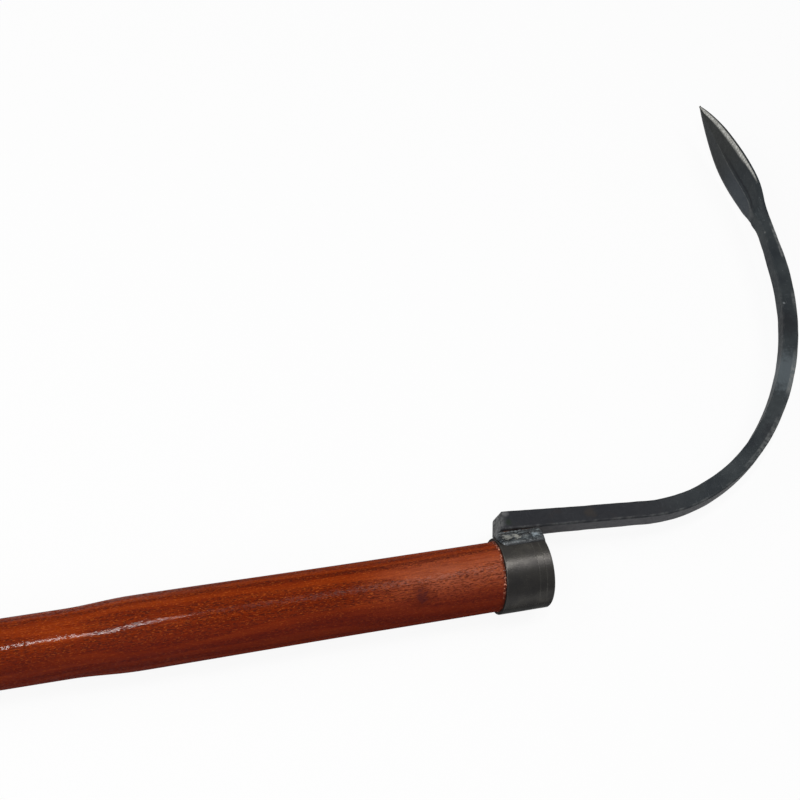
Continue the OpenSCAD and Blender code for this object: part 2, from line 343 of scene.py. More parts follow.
# Material tools
class Nodes:
    """A node tree, with short ways to add nodes."""

    def __init__(self, tree):
        self.tree = tree

    def node(self, kind, **settings):
        made = self.tree.nodes.new(kind)
        for key, value in settings.items():
            setattr(made, key, value)
        return made

    def plug(self, source, socket):
        if isinstance(source, (int, float)):
            socket.default_value = source
        elif isinstance(source, tuple):
            socket.default_value = source if socket.type == "VECTOR" else (*source, 1)
        else:
            self.tree.links.new(source, socket)

    def here(self):
        return self.node("ShaderNodeTexCoord").outputs["Object"]

    def place(self, scale, shift=(0, 0, 0), turn=(0, 0, 0)):
        """Object coordinates, scaled, shifted and turned."""
        mapping = self.node("ShaderNodeMapping")
        self.plug(self.here(), mapping.inputs["Vector"])
        mapping.inputs["Scale"].default_value = scale
        mapping.inputs["Location"].default_value = shift
        mapping.inputs["Rotation"].default_value = turn
        return mapping.outputs["Vector"]

    def axis(self, letter):
        split = self.node("ShaderNodeSeparateXYZ")
        self.plug(self.here(), split.inputs["Vector"])
        return split.outputs[letter]

    def away(self, spot):
        """Distance from a spot in object coordinates."""
        made = self.node("ShaderNodeVectorMath", operation="DISTANCE")
        self.plug(self.here(), made.inputs[0])
        made.inputs[1].default_value = spot
        return made.outputs["Value"]

    def attribute(self, name):
        return self.node("ShaderNodeAttribute", attribute_name=name).outputs["Fac"]

    def noise(self, vector, detail, roughness=0.5, distortion=0.0):
        made = self.node("ShaderNodeTexNoise")
        self.plug(vector, made.inputs["Vector"])
        made.inputs["Scale"].default_value = 1
        made.inputs["Detail"].default_value = detail
        made.inputs["Roughness"].default_value = roughness
        made.inputs["Distortion"].default_value = distortion
        return made.outputs["Fac"]

    def cells(self, vector):
        made = self.node("ShaderNodeTexVoronoi")
        self.plug(vector, made.inputs["Vector"])
        made.inputs["Scale"].default_value = 1
        return made.outputs["Distance"]

    def math(self, operation, a, b=0.0, c=0.0):
        made = self.node("ShaderNodeMath", operation=operation)
        for socket, source in zip(made.inputs, (a, b, c)):
            self.plug(source, socket)
        return made.outputs[0]

    def times(self, product, *factors):
        for factor in factors:
            product = self.math("MULTIPLY", product, factor)
        return product

    def span(self, value, low, high, to_low=0.0, to_high=1.0):
        """Value mapped smoothly from low..high to to_low..to_high, and clamped."""
        made = self.node("ShaderNodeMapRange", interpolation_type="SMOOTHSTEP")
        for socket, source in zip(made.inputs, (value, low, high, to_low, to_high)):
            self.plug(source, socket)
        return made.outputs[0]

    def ramp(self, value, *stops):
        made = self.node("ShaderNodeValToRGB")
        self.plug(value, made.inputs["Fac"])
        elements = made.color_ramp.elements
        while len(elements) < len(stops):
            elements.new(0.5)
        for element, (place, colour) in zip(elements, stops):
            element.position = place
            element.color = (*colour, 1)
        return made.outputs["Color"]

    def blend(self, factor, a, b):
        made = self.node("ShaderNodeMix", data_type="RGBA")
        self.plug(factor, made.inputs[0])
        self.plug(a, made.inputs[6])
        self.plug(b, made.inputs[7])
        return made.outputs[2]

    def marked(self, colour, marks, roughened_by, roughness):
        """Colour with round marks on it, whose edges a noise makes ragged."""
        for spot, radius, shade, strength in marks:
            ragged = self.times(self.math("SUBTRACT", roughened_by, 0.5), roughness * radius)
            mark = self.span(self.math("ADD", self.away(spot), ragged), radius, 0.25 * radius, 0.0, strength)
            colour = self.blend(mark, colour, shade)
        return colour

    def bump(self, height, strength, distance, below=None):
        made = self.node("ShaderNodeBump")
        self.plug(height, made.inputs["Height"])
        made.inputs["Strength"].default_value = strength
        made.inputs["Distance"].default_value = distance
        if below is not None:
            self.plug(below, made.inputs["Normal"])
        return made.outputs["Normal"]


class Paint(Nodes):
    """A material with its shader."""

    def __init__(self, name):
        self.material = bpy.data.materials.new(name)
        self.material.use_nodes = True
        super().__init__(self.material.node_tree)
        self.shader = self.tree.nodes["Principled BSDF"]

    def finish(self, **sockets):
        for name, source in sockets.items():
            self.plug(source, self.shader.inputs[name.replace("_", " ")])
        return self.material


# Handle's material
def growth_rings(p):
    """How far a point is through its growth ring, and how much of it is porous early wood."""
    warp = p.noise(p.place((5, 30, 30)), 2)
    depth = p.math("ADD", p.times(p.axis("Y"), -90), p.times(p.axis("Z"), 190))
    phase = p.math("FRACT", p.math("ADD", depth, p.times(warp, 4.5)))
    return phase, p.times(p.span(phase, 0.0, 0.12), p.span(phase, 0.62, 0.4))


def stained_wood(p, phase, early, fibres):
    """Red-brown stain in streaks, lighter in late wood and darker in early wood."""
    streaks = p.noise(p.place((9, 330, 330)), 4, 0.6)
    patches = p.noise(p.place((14, 90, 90), (6, 3, 1)), 3, 0.6)
    colour = p.ramp(
        streaks,
        (0.34, (0.095, 0.0095, 0.0022)),
        (0.48, (0.145, 0.0145, 0.0024)),
        (0.6, (0.185, 0.023, 0.003)),
        (0.7, (0.24, 0.036, 0.005)),
    )
    colour = p.blend(p.span(phase, 0.55, 0.85, 0.0, 0.4), colour, (0.22, 0.03, 0.004))
    colour = p.blend(p.span(patches, 0.5, 0.64, 0.0, 0.5), colour, (0.075, 0.0085, 0.003))
    colour = p.blend(p.span(fibres, 0.38, 0.66, 0.0, 0.4), colour, (0.25, 0.034, 0.004))
    return p.blend(p.times(early, 0.35), colour, (0.1, 0.011, 0.003))


def painted_sheen_near_ring(p, fibres):
    """Painted sheen: where the upper side is made paler, as if it caught the light, just behind the ring."""
    near_ring = p.span(p.axis("X"), front_x - sheen_len, front_x - 0.5 * sheen_len)
    aside = p.math("ABSOLUTE", p.math("ADD", p.axis("Y"), 2.5 * mm))
    on_top = p.times(p.span(aside, 15 * mm, 1 * mm), p.span(p.axis("Z"), 0.0, 6 * mm))
    return p.times(near_ring, on_top, p.span(fibres, 0.3, 0.6, 0.25, 0.6))


def knot(p, colour):
    """A dark knot with a darker heart."""
    ragged = p.times(p.noise(p.place((420, 600, 600)), 3), 8 * mm)
    reach = p.math("ADD", p.away(knot_spot), ragged)
    colour = p.blend(p.span(reach, 12.5 * mm, 7.5 * mm, 0.0, 0.5), colour, (0.08, 0.012, 0.006))
    return p.blend(p.span(reach, 7.4 * mm, 5.8 * mm, 0.0, 0.55), colour, (0.045, 0.01, 0.012))


def varnish_at_ring(p, colour):
    """Dark line of varnish at the ring's rear rim, with pale crumbs in it."""
    rim = p.attribute("rim")
    colour = p.blend(p.times(rim, 0.85), colour, (0.03, 0.007, 0.005))
    crumbs = p.noise(p.place((900, 900, 900)), 2, 0.6)
    patches = p.span(p.noise(p.place((130, 130, 130), (1, 0, 3)), 2), 0.46, 0.56)
    patches = p.math("MAXIMUM", patches, p.span(p.axis("Y"), 3 * mm, 8 * mm))
    mask = p.times(p.span(crumbs, 0.52, 0.62), p.span(rim, 0.05, 0.5), patches)
    return p.blend(mask, colour, (0.5, 0.22, 0.15))


def varnish_film(p):
    """Surface of the varnish, with fine unevenness over long waves."""
    film = p.bump(p.noise(p.place((560, 1100, 1100), (2, 1, 6)), 2, 0.7), 0.5, 0.1 * mm)
    return p.bump(p.noise(p.place((30, 260, 260), (5, 1, 6)), 2), 0.3, 0.1 * mm, film)


def varnish_gloss(p, low_side, end):
    """Weight of the varnish's gloss, weaker near the ring and on the low side, and none on the end."""
    gloss_start = front_x - gloss_end
    glossy = p.span(p.axis("X"), gloss_start, gloss_start - gloss_fade, 0.09, 0.26)
    speckle = p.span(p.noise(p.place((620, 1200, 1200), (7, 3, 5)), 1, 0.6), 0.42, 0.57, 0.15, 1.0)
    return p.times(glossy, speckle, p.span(low_side, 0.0, 1.0, 1.0, 0.3), p.math("SUBTRACT", 1.0, end))


def varnished_ash():
    """Red-brown stain over ring-porous grain, under a thin gloss varnish, with a bare sawn end."""
    p = Paint("varnished_ash")
    phase, early = growth_rings(p)
    fibres = p.noise(p.place((90, 1500, 1500), (3, 1, 2)), 3, 0.65)
    pores = p.noise(p.place((480, 2300, 2300), (1, 5, 9)), 2, 0.55)
    dots = p.noise(p.place((700, 2100, 2100), (4, 2, 8)), 1)
    colour = stained_wood(p, phase, early, fibres)
    # Painted sheen: the upper side just behind the ring is made paler and pinker.
    colour = p.blend(painted_sheen_near_ring(p, fibres), colour, (0.35, 0.1, 0.052))
    pore_mask = p.times(p.span(pores, 0.48, 0.6), p.math("ADD", p.times(early, 0.6), 0.16))
    colour = p.blend(pore_mask, colour, (0.045, 0.008, 0.005))
    colour = p.blend(p.span(dots, 0.6, 0.68, 0.0, 0.4), colour, (0.42, 0.09, 0.014))
    low_side = p.span(p.axis("Y"), -5 * mm, -16.5 * mm)
    # Painted shade: the low side, towards -Y, is darkened.
    colour = p.blend(p.times(low_side, 0.6), colour, (0.085, 0.01, 0.008))
    colour = varnish_at_ring(p, knot(p, colour))
    end = p.attribute("end_grain")
    sawn = p.ramp(
        p.noise(p.place((1, 900, 160)), 3, 0.6),
        (0.3, (0.2, 0.11, 0.05)),
        (0.5, (0.42, 0.27, 0.14)),
        (0.7, (0.55, 0.38, 0.2)),
    )
    return p.finish(
        Base_Color=p.blend(end, colour, sawn),
        Roughness=0.6,
        Specular_IOR_Level=0.0,
        Coat_Weight=varnish_gloss(p, low_side, end),
        Coat_Roughness=0.08,
        Normal=p.bump(p.math("ADD", fibres, p.times(pores, 0.8)), 0.35, 0.25 * mm),
        Coat_Normal=varnish_film(p),
    )


# Metals
def black_ring_steel():
    """Semi-gloss black on turned tube, rubbed in places, with painted shade making it darker below, and brown
    beside the welds.
    """
    p = Paint("black_ring_steel")
    turned = p.noise(p.place((2600, 20, 20)), 3, 0.6)
    patches = p.noise(p.place((90, 120, 120), (2, 4, 1)), 4, 0.6)
    specks = p.noise(p.place((1500, 1500, 1500)), 2)
    colour = p.ramp(
        patches,
        (0.3, (0.046, 0.043, 0.042)),
        (0.5, (0.07, 0.066, 0.061)),
        (0.7, (0.115, 0.109, 0.096)),
    )
    colour = p.blend(p.span(turned, 0.5, 0.75, 0.0, 0.35), colour, (0.08, 0.077, 0.068))
    colour = p.blend(p.span(specks, 0.68, 0.74, 0.0, 0.5), colour, (0.2, 0.19, 0.17))
    # Painted shade: the low side, towards -Y, is darkened.
    colour = p.blend(p.span(p.axis("Y"), 0.0, -14 * mm, 0.0, 0.55), colour, (0.024, 0.024, 0.026))
    near_weld = p.span(p.axis("Y"), 13 * mm, 17.2 * mm, 0.0, 0.75)
    colour = p.blend(near_weld, colour, (0.03, 0.017, 0.012))
    # On the ring this mask holds only rubbed wear, at the front rim and in the grooves.
    colour = p.blend(p.attribute("wear_and_highlight"), colour, (0.16, 0.155, 0.14))
    lathe = p.bump(turned, 0.12, 0.1 * mm)
    return p.finish(
        Base_Color=colour,
        Metallic=0.7,
        Roughness=p.span(patches, 0.35, 0.65, 0.36, 0.23),
        Specular_IOR_Level=0.1,
        Specular_Tint=(0.2, 0.2, 0.2),
        Normal=p.bump(patches, 0.25, 0.6 * mm, lathe),
    )


def forge_scale(p, scale):
    """Blue-black scale with patches, some rust towards the root, bright specks and scratches."""
    colour = p.ramp(
        p.noise(p.place((45, 45, 45), (1, 8, 3)), 4, 0.6),
        (0.3, (0.0135, 0.0168, 0.0205)),
        (0.5, (0.0215, 0.0265, 0.0295)),
        (0.7, (0.035, 0.041, 0.044)),
    )
    colour = p.blend(p.span(scale, 0.58, 0.75, 0.0, 0.3), colour, (0.035, 0.04, 0.046))
    rust = p.noise(p.place((95, 95, 95), (5, 2, 7)), 3, 0.55)
    near_root = p.span(p.axis("X"), front_x + 100 * mm, front_x, 0.05, 0.5)
    colour = p.blend(p.times(p.span(rust, 0.6, 0.7, 0.0, 0.6), near_root), colour, (0.05, 0.032, 0.02))
    specks = p.noise(p.place((1300, 1300, 1300), (2, 2, 5)), 1)
    colour = p.blend(p.span(specks, 0.74, 0.78, 0.0, 0.5), colour, (0.16, 0.17, 0.18))
    steep = p.noise(p.place((2600, 130, 900), turn=(0, 0, 0.5)), 2)
    flat = p.noise(p.place((160, 2600, 900), turn=(0, 0, 0.35)), 2)
    scratches = p.math("MAXIMUM", p.span(steep, 0.68, 0.72), p.span(flat, 0.69, 0.73))
    return p.blend(p.times(scratches, 0.3), colour, (0.13, 0.14, 0.15))


def tine_shades(p, colour, scale):
    """Painted light that makes the far half of the leaf's face and the bar's outer side paler, darker
    stretches, single marks, painted shade in the dark crease along the rib, and the tint left by welding,
    painted brighter to light its shaded slot.
    """
    # Painted light: the far half of the leaf's face is made paler.
    colour = p.blend(p.times(p.attribute("pale"), 0.6), colour, (0.045, 0.053, 0.063))
    colour = p.blend(p.span(p.axis("X"), *dark_root, 0.0, 0.75), colour, (0.0125, 0.0122, 0.0155))
    # Painted light: the bar's outer side is made paler near the root, standing in for light reflected from
    # the floor.
    colour = p.blend(p.times(p.attribute("outer"), 0.8), colour, (0.07, 0.071, 0.078))
    tip_side = p.span(p.axis("Y"), dark_tip_y, dark_tip_y + dark_tip_fade, 0.0, 0.6)
    colour = p.blend(tip_side, colour, (0.016, 0.016, 0.013))
    colour = p.marked(colour, tine_marks, scale, 1.2)
    # Painted shade: the crease at the rib's foot, on the near side, is darkened.
    colour = p.blend(p.times(p.attribute("crease"), 0.7), colour, (0.006, 0.006, 0.009))
    # Tint left by welding on the bar's outer side, painted brighter than its own colour to light the shaded
    # slot above the weld.
    return p.blend(p.attribute("heat"), colour, (0.36, 0.18, 0.125))


def forged_steel():
    """Forge scale with rubbed edges, painted highlights, painted light and shade, and a brushed ground bevel.
    """
    p = Paint("forged_steel")
    scale = p.noise(p.place((420, 420, 420)), 4, 0.65)
    fine = p.noise(p.place((2400, 2400, 2400)), 2, 0.6)
    brushed = p.noise(p.place((500, 1300, 600), (3, 3, 3)), 3, 0.65)
    ground = p.attribute("ground")
    # Rubbed corners and rear end, with painted highlights along the outer corner and the rib's crest.
    wear_and_highlight = p.times(p.attribute("wear_and_highlight"), p.span(scale, 0.35, 0.6, 0.2, 1.0))
    colour = tine_shades(p, forge_scale(p, scale), scale)
    colour = p.blend(wear_and_highlight, colour, (0.2, 0.205, 0.2))
    ground_colour = p.ramp(
        brushed,
        (0.35, (0.24, 0.235, 0.22)),
        (0.5, (0.4, 0.4, 0.37)),
        (0.65, (0.66, 0.66, 0.63)),
    )
    surface = p.bump(p.math("ADD", p.times(scale, 0.8), p.times(fine, 0.35)), 0.3, 0.4 * mm)
    return p.finish(
        Base_Color=p.blend(ground, colour, ground_colour),
        Metallic=p.times(p.math("MAXIMUM", ground, p.times(wear_and_highlight, 0.6)), 0.7),
        Roughness=p.math("ADD", p.span(scale, 0.3, 0.7, 0.62, 0.46), p.times(ground, -0.12)),
        Specular_IOR_Level=0.15,
        Normal=p.bump(p.times(brushed, ground), 0.3, 0.2 * mm, surface),
    )


def weld_metal():
    """Lumpy weld metal, blued and silvery, with bright specks, painted highlights along its crest and lip and
    in single spots, and a burnt brown top.
    """
    p = Paint("weld_metal")
    patches = p.noise(p.place((150, 420, 420), (3, 1, 4)), 3, 0.55)
    ripples = p.noise(p.place((420, 700, 700)), 3, 0.6, 0.8)
    specks = p.noise(p.place((1900, 1900, 1900)), 2, 0.55)
    colour = p.ramp(
        patches,
        (0.38, (0.006, 0.007, 0.008)),
        (0.49, (0.016, 0.019, 0.022)),
        (0.57, (0.036, 0.045, 0.051)),
        (0.66, (0.15, 0.175, 0.18)),
    )
    colour = p.blend(p.span(ripples, 0.57, 0.67, 0.0, 0.4), colour, (0.15, 0.175, 0.2))
    # Painted highlights in four spots of the near bead.
    colour = p.marked(colour, weld_highlight_spots, ripples, 3)
    # Painted highlight along the bead's crest and its lower lip.
    painted_ridge_highlight = p.times(p.attribute("painted_ridge_highlight"), p.span(ripples, 0.4, 0.56, 0.2, 1.0), 0.75)
    colour = p.blend(painted_ridge_highlight, colour, (0.45, 0.48, 0.49))
    colour = p.blend(p.span(specks, 0.64, 0.7, 0.0, 0.6), colour, (0.6, 0.62, 0.62))
    colour = p.blend(p.attribute("toe"), colour, (0.03, 0.03, 0.032))
    burnt = p.times(p.attribute("burnt"), p.span(ripples, 0.35, 0.6, 0.6, 1.0))
    burnt_colour = p.ramp(specks, (0.4, (0.12, 0.055, 0.037)), (0.65, (0.34, 0.17, 0.12)))
    waves = p.bump(ripples, 0.6, 0.7 * mm)
    return p.finish(
        Base_Color=p.blend(burnt, colour, burnt_colour),
        Metallic=p.times(p.math("SUBTRACT", 1.0, burnt), 0.6),
        Roughness=p.span(patches, 0.35, 0.65, 0.55, 0.32),
        Specular_IOR_Level=0.3,
        Normal=p.bump(specks, 0.4, 0.3 * mm, waves),
    )


# Wedges' materials
def bare_wood():
    p = Paint("bare_wood")
    lines = p.noise(p.place((60, 60, 1100)), 4, 0.65)
    dots = p.cells(p.place((1800, 1800, 1800)))
    colour = p.ramp(lines, (0.3, (0.32, 0.19, 0.09)), (0.5, (0.5, 0.34, 0.18)), (0.75, (0.62, 0.46, 0.27)))
    colour = p.blend(p.span(dots, 0.18, 0.05, 0.0, 0.6), colour, (0.16, 0.09, 0.04))
    return p.finish(Base_Color=colour, Roughness=0.75, Normal=p.bump(lines, 0.4, 0.3 * mm))


def wedge_steel():
    p = Paint("wedge_steel")
    hammer = p.noise(p.place((500, 500, 500)), 4, 0.6)
    colour = p.ramp(hammer, (0.3, (0.07, 0.065, 0.06)), (0.55, (0.2, 0.2, 0.2)), (0.8, (0.34, 0.34, 0.34)))
    return p.finish(Base_Color=colour, Metallic=0.8, Roughness=0.5, Normal=p.bump(hammer, 0.4, 0.4 * mm))


# Handle
def handle_radius(x):
    """Radius of the turned handle at x."""
    back = front_x - x
    if x < butt_x + butt_len:
        t = clamp((x - butt_x) / butt_len)
        return grip_r * mix(butt_share, 1, math.sqrt(1 - (1 - t) ** 2))
    grip_end = butt_x + butt_len + grip_len
    step_foot = front_x - swell_back - step_len
    if x < grip_end:
        return grip_r
    if x < step_foot:
        return mix(grip_r, shaft_r, (x - grip_end) / (step_foot - grip_end))
    if back > swell_back:
        t = (x - step_foot) / step_len
        return mix(shaft_r, swell_r, (1 - math.cos(math.pi * t)) / 2)
    if back > neck_back:
        return mix(swell_r, neck_r, ease((swell_back - back) / (swell_back - neck_back)))
    return neck_r


def ring_rear(y):
    """Where the slanted rear end of the ring stands at y."""
    return ferrule_x + rear_slant * (y + ferrule_r) / (2 * ferrule_r)


def handle_stations():
    """Places along the handle at which its rows of points stand, closest at the ring's rear rim."""
    angles = np.linspace(0, math.pi / 2, butt_rows, endpoint=False)
    butt = [butt_x + butt_len * (1 - math.cos(angle)) for angle in angles]
    shaft = np.arange(butt_x + butt_len, ferrule_x - rim_before, shaft_step)
    rim = np.arange(ferrule_x - rim_before, ferrule_x + rear_slant + rim_after, rim_step)
    return [*butt, *shaft, *rim, front_x - shaft_step, front_x - end_recess - end_chamfer]


def handle_piece():
    """Lathe-turned handle with a squeezed-out line of varnish where the ring starts, and a sawn front end."""
    circle = circle_points(handle_columns)
    stations = handle_stations()
    points, rim = [], []
    for x in stations:
        base = handle_radius(x)
        for y, z in circle:
            low = 0.5 + 0.5 * wobble(x, y * handle_noise_r, z * handle_noise_r, 22, 4)
            from_rim = x - ring_rear(y * base)
            lip = hump(from_rim, 0, lip_w) * (0.55 + 0.75 * wobble(x, y * base, z * base, 420, 2))
            r = base - turning_h * low + lip_h * max(0.0, lip)
            points.append((x, r * y, r * z))
            rim.append(hump(from_rim, 0, stain_w))
    faces = grid_faces(len(stations), handle_columns, True)
    end_grain = [0.0] * len(points)
    ends = (
        (butt_x, 0, 0.0, (0.5, pinched)),
        (front_x - end_recess, len(points) - handle_columns, 1.0, (chamfer_share, 0.5, pinched)),
    )
    for x, edge, sawn, shares in ends:
        for share in shares:
            start = len(points)
            r = handle_radius(x) * share
            points += [(x, r * y, r * z) for y, z in circle]
            end_grain += [sawn] * handle_columns
            rim += [0.0] * handle_columns
            faces += ring_faces(edge, start, handle_columns)
            edge = start
        faces.append(tuple(range(edge, edge + handle_columns)))
    masks = {"rim": rim, "end_grain": end_grain}
    new_piece("handle_turned", "handle", points, faces, varnished_ash(), 40, masks)


# Ferrule
def in_groove(x):
    return sum(hump(front_x - x, back, groove_w) for back in groove_backs)


def ring_profile(bore_r):
    """Ring's outline from its rear bore to its front bore, as share of length, offset along X and radius."""
    rear = [(0.0, 0.0, bore_r)]
    for angle in np.linspace(0, math.pi / 2, 7):
        rear.append((0.0, rear_round * (1 - math.cos(angle)), ferrule_r - rear_round * (1 - math.sin(angle))))
    body = [(share, 0.0, ferrule_r) for share in np.linspace(*ring_body, ring_columns)]
    front = []
    for angle in np.linspace(0, math.pi / 2, 8):
        front.append((1.0, -rim_round * (1 - math.sin(angle)), ferrule_r - rim_round * (1 - math.cos(angle))))
    bore = [(1.0, 0.0, bore_r + bore_chamfer), (1.0, -bore_chamfer, bore_r), (1.0, -bore_shown, bore_r)]
    return rear + body + front + bore


def ferrule_piece():
    """Black ring with rounded rims, fine turned grooves and slight dents."""
    bore_r = ferrule_r - ferrule_wall
    profile = ring_profile(bore_r)
    points, wear_and_highlight = [], []
    for y, z in circle_points(ring_rows):
        noise_y = y * ring_noise_r
        noise_z = z * ring_noise_r
        rear = ring_rear(y * ferrule_r)
        for share, offset, radius in profile:
            x = mix(rear, front_x, share) + offset
            r = radius
            if radius == ferrule_r:
                r -= groove_depth * in_groove(x)
                r -= dent_h * (0.5 + 0.5 * wobble(x, noise_y, noise_z, 120, 6))
            points.append((x, r * y, r * z))
            at_front = hump(x, front_x, rim_wear_w) if radius > bore_r + bore_chamfer else 0.0
            chipped = clamp(0.7 + 1.2 * wobble(x, noise_y, noise_z, 500, 1))
            in_arc = clamp(0.45 + 1.6 * wobble(0, noise_y, noise_z, 90, 3))
            wear_and_highlight.append(max(0.7 * at_front, 0.65 * in_groove(x) * in_arc) * chipped)
    columns = len(profile)
    last = (ring_rows - 1) * columns
    faces = grid_faces(ring_rows, columns, False)
    faces += [(last + j, j, j + 1, last + j + 1) for j in range(columns - 1)]
    steel = black_ring_steel()
    new_piece("ring_ferrule", "ferrule", points, faces, steel, 50, {"wear_and_highlight": wear_and_highlight})


# Tine
def stretches():
    """Length and turn in radians of each stretch of the tine's middle line."""
    out = [(straight_len, 0.0)]
    out += [(radius * math.radians(turn), math.radians(turn)) for radius, turn in bends]
    end = neck_len + leaf_len
    out.append((end, end / leaf_bend_r))
    return out


bend_end = sum(length for length, _ in stretches()[:-1])
leaf_start = bend_end + neck_len
tine_len = leaf_start + leaf_len


def along(s):
    """Place (x, y) and heading on the tine's middle line at length s."""
    x = front_x - bar_overlap
    y = ferrule_r + root_gap + root_w / 2
    heading = -bar_fall
    for length, turn in stretches():
        run = min(max(s, 0.0), length)
        if run <= 0:
            break
        if turn == 0:
            x += run * math.cos(heading)
            y += run * math.sin(heading)
        else:
            radius = length / turn
            after = heading + run / radius
            x += radius * (math.sin(after) - math.sin(heading))
            y -= radius * (math.cos(after) - math.cos(heading))
            heading = after
        s -= length
    return x, y, heading


def leaf_share(s):
    """Share of the leaf's length at s, negative before the leaf."""
    return (s - leaf_start) / leaf_len


def leafness(s):
    """How far the section at s has turned from the bar's into the leaf's."""
    return ease(leaf_share(s) / leaf_blend)


def bar_half(s):
    """Half of the bar's width at s."""
    if s < straight_len:
        return mix(root_w, bar_w, s / straight_len) / 2
    return mix(bar_w, neck_w, clamp((s - straight_len) / (leaf_start - straight_len))) / 2


def leaf_half(u):
    """Half of the leaf's width at share u of its length."""
    if u < leaf_belly:
        return mix(neck_w / 2, leaf_w / 2, math.sin(math.pi / 2 * u / leaf_belly) ** belly_power)
    share = math.pi / 2 * (u - leaf_belly) / (1 - leaf_belly)
    return max(tip_w / 2, leaf_w / 2 * max(0.0, math.cos(share)) ** tip_power)


def rise_between(u, start, end):
    return ease((u - start) / (end - start))


def set_out(s):
    """How far the section at s stands outside the middle line."""
    u = leaf_share(s)
    return leaf_set * rise_between(u, *set_rise) * (1 - rise_between(u, *set_fall))


def there_and_back(u, start, top, end):
    """Smooth rise from 0 at start to 1 at top, and back to 0 at end."""
    return rise_between(u, start, top) if u < top else 1 - rise_between(u, top, end)


def half_section(s, side):
    """Half outline at s, from the outer side over the edge to the inner side, for the +Z or -Z side.

    Each point is distance outwards, distance along Z, and zone, which names the leaf's surface it ends on.
    The bar's outer side becomes the leaf's back, its side face half of the leaf's face, and its inner side
    narrows into the rib."""
    u = clamp(leaf_share(s))
    e = leafness(s)
    b = bar_half(s)
    c = bar_round
    half = leaf_half(u)
    thin = mix(tip_thin, 1, clamp((1 - u) / tip_taper))
    edge = edge_t / 2 * thin
    grind = min(bevel_w, half * bevel_share)
    face = edge + bevel_h * thin
    foot = face + face_rise * thin
    rib = max(foot, edge + rib_h * (1 - rise_between(u, *rib_fade)) * thin)
    back = back_h * thin
    rib_w = rib_share * half
    from_leaf = leaf_share(s)
    fill = throat_h * there_and_back(from_leaf, *throat_at) - waist_h * there_and_back(from_leaf, *waist_at)
    flare = flare_w * there_and_back(from_leaf, *flare_at) if side < 0 else 0.0
    out = []

    def add(bar, leaf, zone):
        reach = mix(bar[0], leaf[0], e)
        z = mix(bar[1], leaf[1], e)
        inner = clamp(0.5 - reach / (2 * b))
        out.append((reach - fill * inner, z + flare * clamp(z / b) ** 2, zone))

    def bar_side(share):
        """Point on the bar's side face at a share of the way to its inner corner."""
        return mix(b - c, c - b, share), b

    def rib_side(share):
        """Point on the rib at a share of the way from its foot to its crest."""
        return -mix(foot, rib, share ** rib_power), rib_w * (1 - share)

    for t in (0.0, *steps(7)):
        fall = 1 - (1 - back_fall) * t * t
        add((b, t * (b - c)), (edge + back * fall, half * back_fall_at * t), "back")
    for t in steps(6):
        angle = math.pi / 2 * t
        bar = (b - c * (1 - math.cos(angle)), b - c * (1 - math.sin(angle)))
        add(bar, (edge + back * back_fall * (1 - t), half * mix(back_fall_at, 1, t)), "back_corner")
    for t in steps(3):
        add(bar_side(side_end * t), (mix(edge, -edge, t), half), "side")
    for t in steps(5):
        add(bar_side(mix(side_end, bevel_end, t)), (-mix(edge, face, t), half - grind * t), "bevel")
    for t in steps(8):
        add(bar_side(mix(bevel_end, 1, t)), (-mix(face, foot, t), mix(half - grind, rib_w, t)), "face")
    for t in steps(6):
        angle = math.pi / 2 * t
        bar = (c * (1 - math.sin(angle)) - b, b - c * (1 - math.cos(angle)))
        add(bar, rib_side(crest_from * t), "rib")
    for t in steps(5):
        add((-b, (b - c) * (1 - t)), rib_side(mix(crest_from, 1, t)), "crest")
    return out


def corner_highlight(s):
    """How strong the painted highlight on the bar's outer corner is at s."""
    rubbed = [
        strength * clamp((s - start) / corner_highlight_fade) * clamp((end - s) / corner_highlight_fade)
        for start, end, strength in corner_highlight_spans
    ]
    return max(rubbed)


